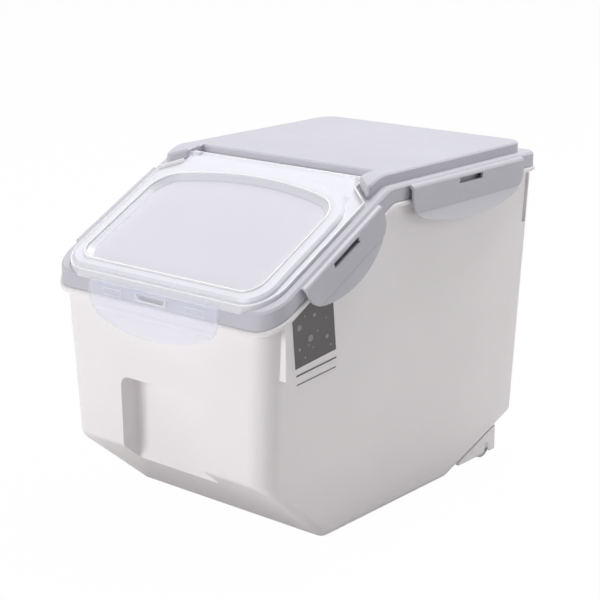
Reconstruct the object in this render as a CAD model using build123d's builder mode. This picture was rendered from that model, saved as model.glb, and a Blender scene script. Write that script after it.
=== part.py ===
from build123d import *
from math import atan2, cos, radians, sin, tan
import os

# Pet food storage bin with a lift-off lid, a clear flip lid and two rear wheels.
# Millimetres. +X is the right side seen from the front, -Y is the front, +Z is up.
# The origin is on the floor, under the centre of the whole box.

# Bin
rim_width = 228.0
rim_length = 337.0
rim_height = 246.5          # underside of the rim over the flat rear part
rim_front_height = 174.9    # underside of the rim at its front edge
slope_run = 137.5           # plan length of the sloping part of the rim
rim_thickness = 3.5
rim_overhang = 4.0
rim_front_radius = 22.0
rim_rear_radius = 13.0
rim_edge = 0.9              # bevel along the rim's edges
rim_bend_radius = 12.0      # soft bend between the sloping and the flat part of the rim
wall = 2.6
floor_width = 193.0
front_lean = 2.8            # how far the front wall leans in, from rim to floor
rear_lean = 1.0
front_chamfer_rise = 62.3
front_chamfer_run = 73.0
rear_chamfer_rise = 35.0
rear_chamfer_run = 95.0
floor_bend_radius = 14.0
bottom_edge_radius = 7.0
inner_foot_bevel = 3.0

# Finger recess low in the front wall
recess_width = 84.0
recess_top = 118.7
recess_depth = 18.0
recess_radius = 8.0

# A rib below the rim near each front corner, and a narrow sink pocket near each rear corner
rib_thickness = 3.0
rib_setback = 20.0          # from the front of the rim
rib_reach = 4.0             # from the rim's edge in to the outer face of the rib
pocket_width = 5.0
pocket_depth = 4.0
pocket_setback = 14.0       # from the rear of the rim
pocket_length = 43.0        # height of the ribs and pockets

# Wheels under the rear chamfer
wheel_radius = 12.0
wheel_width = 16.0
wheel_floor_gap = 0.5
wheel_setback = 42.5        # from the rear edge of the rim to the axle
wheel_side_gap = 1.5
wheel_well_gap = 2.5
hub_radius = 5.5
rim_web_inset = 3.0
axle_radius = 2.5
axle_fit = 0.06             # radial clearance of the wheel on its axle
axle_seat_fit = 0.04        # radial clearance of the axle in the cheeks
axle_neck = 4.6             # width of the snap neck below each seat
axle_head_radius = 4.0
axle_head_length = 1.2
cheek_thickness = 3.0
cheek_clearance = 6.0       # height of the cheeks above the floor
cheek_overrun = 12.3        # how far the cheeks reach behind the axle
tread_thickness = 2.5
axle_seat_gap = 0.3

# Lid frame
ring_inset = 1.7            # from the rim edge in to the outer face of the ring
ring_gap = 0.4              # shadow gap between rim and ring
ring_top = 15.3             # ring top above the underside of the rim
ring_edge = 1.5
lid_wall = 2.3
panel_inset = 10.3          # from the rim edge in to the raised panel
panel_rise = 8.5
panel_radius = 14.0
panel_edge = 1.2
panel_front = 146.4         # from the front of the rim back to the panel's front edge
shoulder_gap = 3.7          # between the flip lid's slanting edges and the panel's shoulders
shoulder_radius = 3.0
hinge_pocket_front = 126.0  # from the front of the rim back to the hinge pocket
plug_gap = 0.6              # between bin wall and the plug skirt of the lid
plug_wall = 2.0
plug_depth = 7.0
neck_floor = 9.0            # floor of the hinge pocket above the underside of the rim
mouth_collar_depth = 9.0

# Seals
seal_gap = 0.3
seal_width = 3.2
seal_height = 4.0
channel_rib = 1.6           # inner rib of the seal's channel
channel_gap = 1.5

# Flip lid
flip_half_width = 105.0
flip_thickness = 1.8
flip_gap = 0.3              # between the ring and the flip lid
flip_front_radius = 25.0
flip_side_gap = 1.2         # between the flip lid and the shoulders of the panel
neck_half_width = 86.0
neck_rear = 143.4           # rear edge of the neck, from the front of the rim
neck_junction = 125.8       # where the neck starts to widen, from the front of the rim
neck_corner = 112.3         # where the lid reaches its full width
hinge_setback = 1.9         # hinge axis in front of the bend in the rim
hinge_height = 17.6         # hinge axis above the underside of the rear rim
knuckle_radius = 2.6
knuckle_length = 7.0
pivot_radius = 2.2
pivot_fit = 0.08
pivot_length = 4.6
skirt_drop = 2.7            # how far the front skirt hangs below the ring's top
skirt_depth = 96.0          # how far the skirt runs back along the sides
skirt_wall = 2.0
edge_lip_width = 1.2
edge_lip_height = 0.5
land_half_width = 100.0
land_front_setback = 13.6   # along the slope, from the front of the rim
land_rear = -3.5
land_rear_radius = 38.0
land_crown_radius = 280.0   # the land's rear side is a flat arc
land_front_radius = 21.0
land_edge = 1.8
land_height = 4.1           # land above the lid's plate
land_width = 11.0
bead_width = 1.6
bead_height = 0.7
land_taper = 50.0
land_front_width = 8.5      # the land is narrower along its front side
land_inner_rear = -16.0
land_inner_front_radius = 14.0
land_inner_rear_radius = 25.0
seal_setback = 3.0          # from the land's edge in to the flip lid's seal
flip_seal_width = 4.0

# Mouth below the flip lid
mouth_half_width = 80.0
mouth_front_setback = 5.5   # from the land's inner edge
mouth_rear = -24.0
mouth_rear_radius = 22.0
mouth_front_radius = 12.0

# Snap latches
latch_hinge = 13.6          # hinge line above the underside of the rim
latch_root_gap = 0.3
latch_root_radius = 0.9
latch_rim_gap = 0.3         # between the closed latch ridge and the rim edge
latch_ridge = 0.95
latch_thickness = 2.0
latch_crease = 21.5         # below the hinge line
latch_reach = 34.0          # lowest point of the lip below the hinge line
slope_latch_reach = 30.0
latch_end_rise = 12.0       # from the lowest point of the lip up to its ends
catch_gap = 0.3             # between the rim's underside and the latch's ridge
latch_corner_radius = 19.0
latch_lip_flare = 3.0
latch_dip = 0.7             # depth of the crease
latch_shoulder_radius = 3.0
latch_ridge_height = 2.4
front_latch_hinge = 0.9     # hinge line above the lower edge of the lid's front skirt
slot_length = 31.0
slot_width = 4.4
slot_drop = 2.4
rear_latch_width = 150.0
slope_latch_width = 96.0
front_latch_width = 130.0
rear_latch_centre = 230.5   # from the front of the rim
slope_latch_centre = -63.5  # along the slope, from the bend

# Worked out from the sizes above
latch_inner = ring_inset + latch_rim_gap + latch_ridge
latch_outer = latch_inner + latch_thickness
latch_root = latch_root_gap + latch_root_radius
lip_reach = latch_outer + latch_lip_flare - ring_inset
rim_front = lip_reach / 2 - rim_length / 2
rim_rear = rim_front + rim_length
bend_y = rim_front + slope_run
slope = atan2(rim_height - rim_front_height, slope_run)
slope_length = slope_run / cos(slope)
land_front = land_front_setback - slope_length
land_inner_front = land_front + land_front_width
mouth_front = land_inner_front + mouth_front_setback
wall_inset = rim_overhang + wall
deck_bottom = ring_top - lid_wall
panel_top = ring_top + panel_rise
rebate_bottom = ring_top - skirt_drop - flip_gap
flip_bottom = ring_top + flip_gap
flip_top = flip_bottom + flip_thickness
land_top = flip_top + land_height
top_limit = rim_height + panel_top + 20
side_limit = rim_width
slope_plane = Plane(origin=(0, bend_y, rim_height), x_dir=(1, 0, 0), z_dir=(0, -sin(slope), cos(slope)))
axle_y = rim_rear - wheel_setback
axle_z = wheel_radius + wheel_floor_gap
hinge_y = bend_y - hinge_setback
hinge_z = rim_height + hinge_height


def rim_z(y, lift):
    """Height of the surface that lies lift above the underside of the rim."""
    bend = bend_y - lift * tan(slope / 2)
    return rim_height + lift - max(0.0, bend - y) * tan(slope)


def wall_x(z):
    """Outer face of the side walls at height z."""
    return floor_width / 2 + (rim_width / 2 - rim_overhang - floor_width / 2) * z / rim_height


def wall_y(z, front):
    """Outer face of the front or rear wall at height z."""
    if front:
        return rim_front + rim_overhang + front_lean * (1 - z / rim_front_height)
    return rim_rear - rim_overhang - rear_lean * (1 - z / rim_height)


def outline(half_width, front, rear, front_radius, rear_radius):
    """A plan rectangle with its own corner radius at the front and at the rear."""
    with BuildSketch() as shape:
        with Locations((0, (front + rear) / 2)):
            Rectangle(2 * half_width, rear - front)
        fillet(shape.vertices().group_by(Axis.Y)[0], front_radius)
        fillet(shape.vertices().group_by(Axis.Y)[-1], rear_radius)
    return shape.sketch


def crowned_outline(half_width, front, rear, front_radius, rear_radius, crown):
    """The same outline with its rear side drawn as a flat arc of radius crown."""
    corner = rear - crown + (crown ** 2 - half_width ** 2) ** 0.5
    with BuildSketch() as shape:
        with BuildLine():
            Polyline((-half_width, corner), (-half_width, front), (half_width, front), (half_width, corner))
            ThreePointArc((half_width, corner), (0, rear), (-half_width, corner))
        make_face()
        fillet(shape.vertices().group_by(Axis.Y)[0], front_radius)
        fillet(shape.vertices().group_by(Axis.Y)[-1], rear_radius)
    return shape.sketch


def rim_outline(inset):
    """The rim's outline in plan, moved in by inset."""
    return outline(
        rim_width / 2 - inset,
        rim_front + inset,
        rim_rear - inset,
        rim_front_radius - inset,
        rim_rear_radius - inset,
    )


def rim_slab(low, high):
    """All that lies between two heights above the underside of the rim, following its bend."""
    ahead = rim_front - rim_overhang - lip_reach
    behind = rim_rear + lip_reach
    with BuildPart() as slab:
        with BuildSketch(Plane.YZ):
            with BuildLine():
                below = FilletPolyline(
                    (ahead, rim_z(ahead, low)),
                    (bend_y - low * tan(slope / 2), rim_height + low),
                    (behind, rim_height + low),
                    radius=rim_bend_radius + low,
                )
                above = FilletPolyline(
                    (ahead, rim_z(ahead, high)),
                    (bend_y - high * tan(slope / 2), rim_height + high),
                    (behind, rim_height + high),
                    radius=rim_bend_radius + high,
                )
                Line(below @ 0, above @ 0)
                Line(below @ 1, above @ 1)
            make_face()
        extrude(amount=side_limit, both=True)
    return slab.part


def above_rim(lift):
    """All that lies higher than lift above the underside of the rim."""
    ahead = rim_front - rim_overhang - lip_reach
    behind = rim_rear + lip_reach
    with BuildPart() as space:
        with BuildSketch(Plane.YZ):
            with BuildLine():
                below = FilletPolyline(
                    (ahead, rim_z(ahead, lift)),
                    (bend_y - lift * tan(slope / 2), rim_height + lift),
                    (behind, rim_height + lift),
                    radius=rim_bend_radius + lift,
                )
                Polyline(below @ 0, (ahead, top_limit), (behind, top_limit), below @ 1)
            make_face()
        extrude(amount=side_limit, both=True)
    return space.part


def rim_band(outer_inset, inner_inset, low, high):
    """A band that follows the rim, between two insets in plan and two heights."""
    with BuildPart() as band:
        with BuildSketch():
            add(rim_outline(outer_inset))
            if inner_inset:
                add(rim_outline(inner_inset), mode=Mode.SUBTRACT)
        extrude(amount=top_limit)
        add(rim_slab(low, high), mode=Mode.INTERSECT)
    return band.part


def round_edges(solid, floor):
    """Edges that run round a rim-shaped solid, higher than floor above the underside of the rim."""

    def runs_round(edge):
        middle = edge.center()
        upright = abs((edge % 0.5).Z) > 0.99
        level_across = abs((edge % 0.5).X) > 0.99
        bend_line = level_across and (
            abs(middle.X) > neck_half_width or abs(middle.Y - bend_y) < rim_bend_radius / 2
        ) and rim_front + ring_inset < middle.Y < rim_rear - panel_inset - 1
        return not upright and not bend_line and middle.Z - rim_z(middle.Y, 0) > floor

    return solid.edges().filter_by(runs_round)


def tapered_walls(inset):
    """The bin's four leaning walls as one block, moved in by inset."""
    top = rim_height + panel_top
    with BuildPart() as body:
        with BuildSketch(Plane.XZ):
            with BuildLine():
                Polyline(
                    (-wall_x(0) + inset, 0),
                    (wall_x(0) - inset, 0),
                    (wall_x(top) - inset, top),
                    (-wall_x(top) + inset, top),
                    close=True,
                )
            make_face()
        extrude(amount=rim_length, both=True)
        with BuildSketch(Plane.YZ):
            with BuildLine():
                Polyline(
                    (wall_y(0, True) + inset, 0),
                    (wall_y(0, False) - inset, 0),
                    (wall_y(top, False) - inset, top),
                    (wall_y(top, True) + inset, top),
                    close=True,
                )
            make_face()
        extrude(amount=side_limit, both=True, mode=Mode.INTERSECT)
        front_uprights = body.edges().filter_by(lambda edge: abs((edge % 0.5).Z) > 0.9).sort_by(Axis.Y)[:2]
        fillet(front_uprights, rim_front_radius - rim_overhang - inset)
        rear_uprights = body.edges().filter_by(lambda edge: abs((edge % 0.5).Z) > 0.9).sort_by(Axis.Y)[-2:]
        fillet(rear_uprights, rim_rear_radius - rim_overhang - inset)
    return body.part


def tub(inset):
    """The bin's body with its chamfers and rounded foot, moved in by inset on every side but the top."""
    with BuildPart() as body:
        add(tapered_walls(inset))
        front_foot = wall_y(front_chamfer_rise, True) + front_chamfer_run
        rear_foot = wall_y(rear_chamfer_rise, False) - rear_chamfer_run
        front_grade = front_chamfer_rise / front_chamfer_run
        rear_grade = rear_chamfer_rise / rear_chamfer_run
        ahead = front_foot - front_chamfer_run - 2 * rim_overhang
        behind = rear_foot + rear_chamfer_run + 2 * rim_overhang
        with BuildSketch(Plane.YZ) as profile:
            with BuildLine():
                Polyline(
                    (ahead, (front_foot - ahead) * front_grade),
                    (front_foot, 0),
                    (rear_foot, 0),
                    (behind, (behind - rear_foot) * rear_grade),
                    (behind, top_limit),
                    (ahead, top_limit),
                    close=True,
                )
            make_face()
            fillet(profile.vertices().group_by(Axis.Y)[0], floor_bend_radius)
            if inset:
                offset(amount=-inset, kind=Kind.INTERSECTION, mode=Mode.REPLACE)
        extrude(amount=side_limit, both=True, mode=Mode.INTERSECT)
        low_edges = body.edges().filter_by(lambda edge: edge.center().Z < front_chamfer_rise + wall_inset)
        ring_edges = low_edges.filter_by(
            lambda edge: abs(edge.center().X) > floor_width / 4
            or edge.center().Y < wall_y(0, True) + 2 * wall_inset
            or edge.center().Y > wall_y(0, False) - 2 * wall_inset
        )
        if inset:
            chamfer(ring_edges, inner_foot_bevel)
        else:
            fillet(ring_edges, bottom_edge_radius)
    return body.part


def recess_block(grow):
    """The room taken by the finger recess, grown by a wall."""
    back = wall_y(recess_top, True) + recess_depth + grow
    with BuildPart() as block:
        with BuildSketch() as plan:
            with BuildLine():
                Polyline(
                    (-recess_width / 2 - grow, rim_front - rim_overhang),
                    (recess_width / 2 + grow, rim_front - rim_overhang),
                    (recess_width / 2 + grow, back),
                    (-recess_width / 2 - grow, back),
                    close=True,
                )
            make_face()
            fillet(plan.vertices().group_by(Axis.Y)[-1], recess_radius / 2 + grow)
        extrude(amount=recess_top + grow)
        top_edges = block.edges().group_by(Axis.Z)[-1].filter_by(Axis.Y)
        fillet(top_edges, recess_radius + grow)
    return block.part


def pocket_block(side, y, grow):
    """The room taken by one sink pocket below the rim, grown by a wall."""
    high = rim_z(y, 0)
    low = high - pocket_length - grow
    depth = pocket_depth + grow
    with BuildPart() as block:
        with BuildSketch(Plane.XZ.offset(-y)):
            with BuildLine():
                Polyline(
                    (side * (wall_x(low) - depth), low),
                    (side * (wall_x(high) - depth), high + grow),
                    (side * (wall_x(high) + depth), high + grow),
                    (side * (wall_x(low) + depth), low),
                    close=True,
                )
            make_face()
        extrude(amount=pocket_width / 2 + grow, both=True)
    return block.part


def rib_block(side):
    """The rib below the rim near one front corner: an upright fin on the leaning wall."""
    y = rim_front + rib_setback
    high = rim_z(y, 0)
    outer = rim_width / 2 - rib_reach
    with BuildPart() as block:
        with BuildSketch(Plane.XZ.offset(-y)):
            with BuildLine():
                Polyline(
                    (side * (wall_x(high - pocket_length) - wall / 2), high - pocket_length),
                    (side * outer, high - pocket_length),
                    (side * outer, high + rim_thickness),
                    (side * (wall_x(high) - wall / 2), high + rim_thickness),
                    close=True,
                )
            make_face()
        extrude(amount=rib_thickness / 2, both=True)
    return block.part


def across(x_low, x_high, radius, y, z):
    """A round bar along X between two stations."""
    with BuildPart() as bar:
        with BuildSketch(Plane.YZ.offset(x_low)):
            with Locations((y, z)):
                Circle(radius)
        extrude(amount=x_high - x_low)
    return bar.part


cheek_outer = wall_x(axle_z)
well_outer = cheek_outer - cheek_thickness
well_inner = well_outer - wheel_width - 2 * wheel_side_gap
cheek_inner = well_inner - cheek_thickness
wheel_well_radius = wheel_radius + wheel_well_gap
rear_foot_y = wall_y(rear_chamfer_rise, False) - rear_chamfer_run
rear_grade = rear_chamfer_rise / rear_chamfer_run
pocket_y = rim_rear - pocket_setback
sides = {"left": -1, "right": 1}

# The bin's cavity, with the walls of the recess, pockets and wheel wells left standing in it
with BuildPart() as cavity:
    add(tub(wall))
    add(recess_block(wall), mode=Mode.SUBTRACT)
    for side in sides.values():
        add(pocket_block(side, pocket_y, wall), mode=Mode.SUBTRACT)
        ends = sorted((side * (well_inner - wall), side * (cheek_outer + wall)))
        add(across(ends[0], ends[1], wheel_well_radius + wall, axle_y, axle_z), mode=Mode.SUBTRACT)

with BuildPart() as rim_plate:
    add(rim_band(0, 0, 0, rim_thickness))
    chamfer(round_edges(rim_plate, -rim_thickness), rim_edge)

# Bin with its rim, finger recess and wheel cheeks
with BuildPart() as bin_body:
    add(tub(0))
    for side in sides.values():
        add(rib_block(side))
        for station in (cheek_outer - cheek_thickness / 2, cheek_inner + cheek_thickness / 2):
            with BuildSketch(Plane.YZ.offset(side * station)):
                start = rear_foot_y + cheek_clearance / rear_grade
                end = axle_y + cheek_overrun
                with BuildLine():
                    Polyline(
                        (start, cheek_clearance),
                        (end, cheek_clearance),
                        (end, (end - rear_foot_y) * rear_grade + wall / 2),
                        (start, cheek_clearance + wall / 2),
                        close=True,
                    )
                make_face()
                with Locations((axle_y, axle_z)):
                    Circle(axle_radius + axle_seat_fit, mode=Mode.SUBTRACT)
                with BuildLine():
                    Polyline(
                        (axle_y - axle_neck / 2, axle_z),
                        (axle_y - axle_neck / 2, cheek_clearance + axle_neck / 2),
                        (axle_y - axle_neck, cheek_clearance),
                        (axle_y + axle_neck, cheek_clearance),
                        (axle_y + axle_neck / 2, cheek_clearance + axle_neck / 2),
                        (axle_y + axle_neck / 2, axle_z),
                        close=True,
                    )
                make_face(mode=Mode.SUBTRACT)
            extrude(amount=cheek_thickness / 2, both=True)
    add(above_rim(rim_thickness), mode=Mode.SUBTRACT)
    add(rim_plate.part)
    add(cavity.part, mode=Mode.SUBTRACT)
    add(recess_block(0), mode=Mode.SUBTRACT)
    for side in sides.values():
        add(pocket_block(side, pocket_y, 0), mode=Mode.SUBTRACT)
        ends = sorted((side * well_inner, side * well_outer))
        add(across(ends[0], ends[1], wheel_well_radius, axle_y, axle_z), mode=Mode.SUBTRACT)


def panel_plan(inset):
    """The raised panel's outline with its two shoulders beside the hinge, moved in by inset."""
    side = rim_width / 2 - panel_inset - inset
    inner = neck_half_width + flip_side_gap + inset
    back = rim_rear - panel_inset - inset
    grade = (neck_junction - neck_corner) / (flip_half_width - neck_half_width)
    margin = shoulder_gap + inset * (1 + grade ** 2) ** 0.5
    outer_reach = rim_front + neck_corner + (flip_half_width - side) * grade + margin
    inner_reach = rim_front + neck_corner + (flip_half_width - inner) * grade + margin
    front = rim_front + panel_front + inset
    corner = shoulder_radius - inset
    with BuildSketch() as plan:
        with BuildLine():
            Polyline(
                (-side, outer_reach),
                (-inner, inner_reach),
                (-inner, front),
                (inner, front),
                (inner, inner_reach),
                (side, outer_reach),
                (side, back),
                (-side, back),
                close=True,
            )
        make_face()
        fillet(plan.vertices().group_by(Axis.Y)[-1], panel_radius - inset)
        fillet(plan.vertices().filter_by(lambda corner_point: corner_point.Y < front + 1), corner)
    return plan.sketch


def flip_plan(grow, rear):
    """The flip lid's outline in plan, grown by a gap, with its neck running back to rear."""
    front = rim_front + ring_inset
    with BuildSketch() as plan:
        with BuildLine():
            Polyline(
                (-flip_half_width, front),
                (flip_half_width, front),
                (flip_half_width, rim_front + neck_corner),
                (neck_half_width, rim_front + neck_junction),
                (neck_half_width, rear),
                (-neck_half_width, rear),
                (-neck_half_width, rim_front + neck_junction),
                (-flip_half_width, rim_front + neck_corner),
                close=True,
            )
        make_face()
        fillet(plan.vertices().group_by(Axis.Y)[0], flip_front_radius)
        if grow:
            offset(amount=grow, kind=Kind.INTERSECTION, mode=Mode.REPLACE)
    return plan.sketch


def on_slope(plan, low, high):
    """A block standing on the sloping part of the rim, between two heights above it."""
    with BuildPart() as block:
        with BuildSketch(slope_plane.offset(low)):
            add(plan)
        extrude(amount=high - low)
    return block.part


def mouth_plan(grow):
    """The mouth below the flip lid, grown by a wall."""
    return crowned_outline(
        mouth_half_width + grow,
        mouth_front - grow,
        mouth_rear + grow,
        mouth_front_radius + grow,
        mouth_rear_radius + grow,
        land_crown_radius + grow,
    )


def land_plan(inset):
    """Outer edge of the land, moved in by inset."""
    return crowned_outline(
        land_half_width - inset,
        land_front + inset,
        land_rear - inset,
        land_front_radius - inset,
        land_rear_radius - inset,
        land_crown_radius + land_width - inset,
    )


def land_inner_plan(grow):
    """Inner edge of the land, moved out by grow."""
    return crowned_outline(
        land_half_width - land_width + grow,
        land_inner_front - grow,
        land_inner_rear + grow,
        land_inner_front_radius + grow,
        land_inner_rear_radius + grow,
        land_crown_radius + grow,
    )


def skirt_band(outer_grow, inner_inset, reach, low, high):
    """The band that the flip lid's front skirt and its rebate follow."""
    with BuildPart() as band:
        with BuildSketch() as plan:
            add(flip_plan(outer_grow, hinge_y))
            add(flip_plan(-inner_inset, hinge_y), mode=Mode.SUBTRACT)
            with Locations((0, rim_front + ring_inset + skirt_depth + reach + rim_length / 2)):
                Rectangle(2 * rim_width, rim_length, mode=Mode.SUBTRACT)
        extrude(amount=top_limit)
        add(rim_slab(low, high), mode=Mode.INTERSECT)
    return band.part


def hinge_pocket(grow, low, high):
    """The pocket that the flip lid's hinge turns in."""
    with BuildPart() as pocket:
        with BuildSketch():
            middle = rim_front + (hinge_pocket_front + panel_front) / 2
            with Locations((0, middle)):
                Rectangle(
                    2 * (neck_half_width + flip_side_gap + grow), panel_front - hinge_pocket_front + 2 * grow
                )
        extrude(amount=top_limit)
        add(rim_slab(low, high), mode=Mode.INTERSECT)
    return pocket.part


# Lid frame: its outer form first, then the hollows under it
with BuildPart() as panel_form:
    with BuildSketch():
        add(panel_plan(0))
    extrude(amount=top_limit)
    add(rim_slab(deck_bottom, panel_top), mode=Mode.INTERSECT)
    chamfer(round_edges(panel_form, ring_top + panel_rise / 2), panel_edge)

with BuildPart() as panel_hollow:
    with BuildSketch():
        add(panel_plan(lid_wall))
    extrude(amount=top_limit)
    add(rim_slab(0, panel_top - lid_wall), mode=Mode.INTERSECT)

with BuildPart() as ring_form:
    add(rim_band(ring_inset, 0, rim_thickness + ring_gap, ring_top))
    chamfer(round_edges(ring_form, ring_top / 2), ring_edge)

seal_outer = ring_inset + lid_wall
seal_inner = seal_outer + seal_width
with BuildPart() as plug_skirt:
    add(tapered_walls(wall + plug_gap))
    add(tapered_walls(wall + plug_gap + plug_wall), mode=Mode.SUBTRACT)
    add(rim_band(seal_inner, 0, rim_thickness - plug_depth, deck_bottom), mode=Mode.INTERSECT)

with BuildPart() as rebate_backing:
    margin = flip_gap + lid_wall
    add(skirt_band(margin, skirt_wall + margin, margin, rebate_bottom - lid_wall, deck_bottom))
    add(rim_band(ring_inset, 0, 0, ring_top), mode=Mode.INTERSECT)

with BuildPart() as lid_frame:
    add(ring_form.part)
    add(rim_band(ring_inset + lid_wall, 0, 0, deck_bottom), mode=Mode.SUBTRACT)
    add(panel_form.part)
    add(panel_hollow.part, mode=Mode.SUBTRACT)
    add(plug_skirt.part)
    add(rim_band(seal_inner, seal_inner + channel_rib, rim_thickness + channel_gap, deck_bottom))
    add(hinge_pocket(lid_wall, neck_floor - lid_wall, deck_bottom))
    add(rebate_backing.part)
    add(on_slope(mouth_plan(plug_wall), ring_top - mouth_collar_depth, deck_bottom))
    add(hinge_pocket(0, neck_floor, panel_top + 1), mode=Mode.SUBTRACT)
    rebate = skirt_band(flip_gap, skirt_wall + flip_gap, flip_gap, rebate_bottom, flip_bottom)
    add(rebate, mode=Mode.SUBTRACT)
    add(on_slope(mouth_plan(0), 0, flip_bottom), mode=Mode.SUBTRACT)
    for side in sides.values():
        ends = sorted((side * neck_half_width, side * (neck_half_width + pivot_length + flip_side_gap)))
        add(across(ends[0], ends[1], pivot_radius + pivot_fit, hinge_y, hinge_z), mode=Mode.SUBTRACT)
        add(pocket_block(side, pocket_y, wall + plug_gap), mode=Mode.SUBTRACT)

with BuildPart() as main_lid_seal:
    seal_foot = rim_thickness + seal_gap
    add(rim_band(seal_outer, seal_inner, seal_foot, seal_foot + seal_height))


def land_block(shift, low, high):
    """The sloping inner side of the land, moved out by shift, between two heights."""
    with BuildPart() as block:
        for level in (low, high):
            with BuildSketch(slope_plane.offset(level)):
                add(land_inner_plan((level - land_top) * tan(radians(land_taper)) + shift))
        loft(ruled=True)
    return block.part


# Flip lid: plate, moulded land, edge lip, front skirt and hinge knuckles
with BuildPart() as land_form:
    add(on_slope(land_plan(0), flip_bottom, land_top))
    chamfer(land_form.faces().sort_by(Axis(slope_plane.origin, slope_plane.z_dir))[-1].edges(), land_edge)

with BuildPart() as land_hollow:
    add(on_slope(land_plan(flip_thickness), ring_top, land_top - flip_thickness))
    add(land_block(flip_thickness / cos(radians(land_taper)), deck_bottom, land_top), mode=Mode.SUBTRACT)

with BuildPart() as above_plate:
    with BuildSketch():
        add(flip_plan(-edge_lip_width, rim_front + neck_rear - edge_lip_width))
    extrude(amount=top_limit)
    add(rim_slab(flip_top, land_top), mode=Mode.INTERSECT)

with BuildPart() as flip_lid:
    with BuildSketch():
        add(flip_plan(0, rim_front + neck_rear))
    extrude(amount=top_limit)
    add(rim_slab(flip_bottom, flip_top + edge_lip_height), mode=Mode.INTERSECT)
    add(above_plate.part, mode=Mode.SUBTRACT)
    add(land_form.part)
    add(land_block(0, flip_top, land_top + bead_height), mode=Mode.SUBTRACT)
    add(on_slope(land_inner_plan(bead_width), land_top - bead_height, land_top + bead_height))
    add(on_slope(land_inner_plan(0), land_top - bead_height, land_top + bead_height), mode=Mode.SUBTRACT)
    add(land_hollow.part, mode=Mode.SUBTRACT)
    add(skirt_band(0, skirt_wall, 0, rebate_bottom + flip_gap, flip_bottom + flip_thickness / 2))
    for side in sides.values():
        knuckle = sorted((side * (neck_half_width - knuckle_length), side * neck_half_width))
        pin = sorted((side * (neck_half_width - knuckle_length), side * (neck_half_width + pivot_length)))
        add(across(knuckle[0], knuckle[1], knuckle_radius, hinge_y, hinge_z))
        add(across(pin[0], pin[1], pivot_radius, hinge_y, hinge_z))

with BuildPart() as flip_lid_seal:
    seal_top = land_top - flip_thickness
    add(on_slope(land_plan(seal_setback), flip_bottom, seal_top))
    add(on_slope(land_plan(seal_setback + flip_seal_width), flip_bottom, seal_top), mode=Mode.SUBTRACT)


def latch(base, width, reach, catch):
    """A snap latch hung on the hinge line of base, whose ridge sits below a rim catch under that line."""
    reach_out = latch_outer + latch_lip_flare
    below = reach + latch_thickness
    end_drop = reach - latch_end_rise
    flare_grade = (latch_lip_flare + latch_dip) / (reach - latch_crease)
    tip = latch_outer - latch_dip + flare_grade * (below - latch_crease)
    ridge_top = -catch - catch_gap
    with BuildPart() as body:
        with BuildSketch(Plane(origin=base.origin, x_dir=base.z_dir, z_dir=-base.x_dir)) as section:
            with BuildLine():
                Polyline(
                    (latch_root, latch_root_radius),
                    (latch_outer, latch_root_radius),
                    (latch_outer, -latch_crease + latch_thickness),
                    (latch_outer - latch_dip, -latch_crease),
                    (tip, -below),
                    (tip - latch_thickness, -below),
                    (latch_inner - latch_dip, -latch_crease - latch_dip),
                    (latch_inner, -latch_crease + latch_dip),
                    (latch_inner, ridge_top - latch_ridge_height),
                    (latch_inner - latch_ridge, ridge_top - latch_ridge_height + latch_ridge),
                    (latch_inner - latch_ridge, ridge_top - latch_ridge),
                    (latch_inner, ridge_top),
                    (latch_inner, -latch_root_radius - latch_thickness),
                    (latch_root, -latch_root_radius),
                    close=True,
                )
            make_face()
            fillet(section.vertices().group_by(Axis.Y)[-1].sort_by(Axis.X)[-1], latch_shoulder_radius)
            with Locations((latch_root, 0)):
                Circle(latch_root_radius)
        extrude(amount=width / 2 + 1, both=True)
        with BuildSketch(base) as front_view:
            with BuildLine():
                Polyline(
                    (-width / 2, -end_drop),
                    (-width / 2, latch_root_radius),
                    (width / 2, latch_root_radius),
                    (width / 2, -end_drop),
                )
                ThreePointArc((width / 2, -end_drop), (0, -reach), (-width / 2, -end_drop))
            make_face()
            ends = front_view.vertices().filter_by(lambda point: point.Y < -end_drop + 1)
            fillet(ends, latch_corner_radius)
            with Locations((0, -slot_drop - slot_width / 2)):
                Rectangle(slot_length, slot_width, mode=Mode.SUBTRACT)
        extrude(amount=reach_out + latch_thickness, mode=Mode.INTERSECT)
    return body.part


latches = {}
for name, side in sides.items():
    face_x = side * (rim_width / 2 - ring_inset)
    outward = (side, 0, 0)
    level_centre = (face_x, rim_front + rear_latch_centre, rim_height + latch_hinge)
    level = Plane(origin=level_centre, x_dir=(0, side, 0), z_dir=outward)
    centre = slope_plane.from_local_coords(Vector(face_x, slope_latch_centre, latch_hinge))
    sloping = Plane(origin=centre, x_dir=(0, side * cos(slope), side * sin(slope)), z_dir=outward)
    latches[f"latch_{name}_rear"] = latch(level, rear_latch_width, latch_reach, latch_hinge)
    latches[f"latch_{name}_front"] = latch(sloping, slope_latch_width, slope_latch_reach, latch_hinge)

front_face_y = rim_front + ring_inset
front_hinge_z = rim_z(front_face_y, rebate_bottom + flip_gap) + front_latch_hinge
front_plane = Plane(origin=(0, front_face_y, front_hinge_z), x_dir=(1, 0, 0), z_dir=(0, -1, 0))
front_latch = latch(front_plane, front_latch_width, latch_reach, front_hinge_z - rim_front_height)

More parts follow.
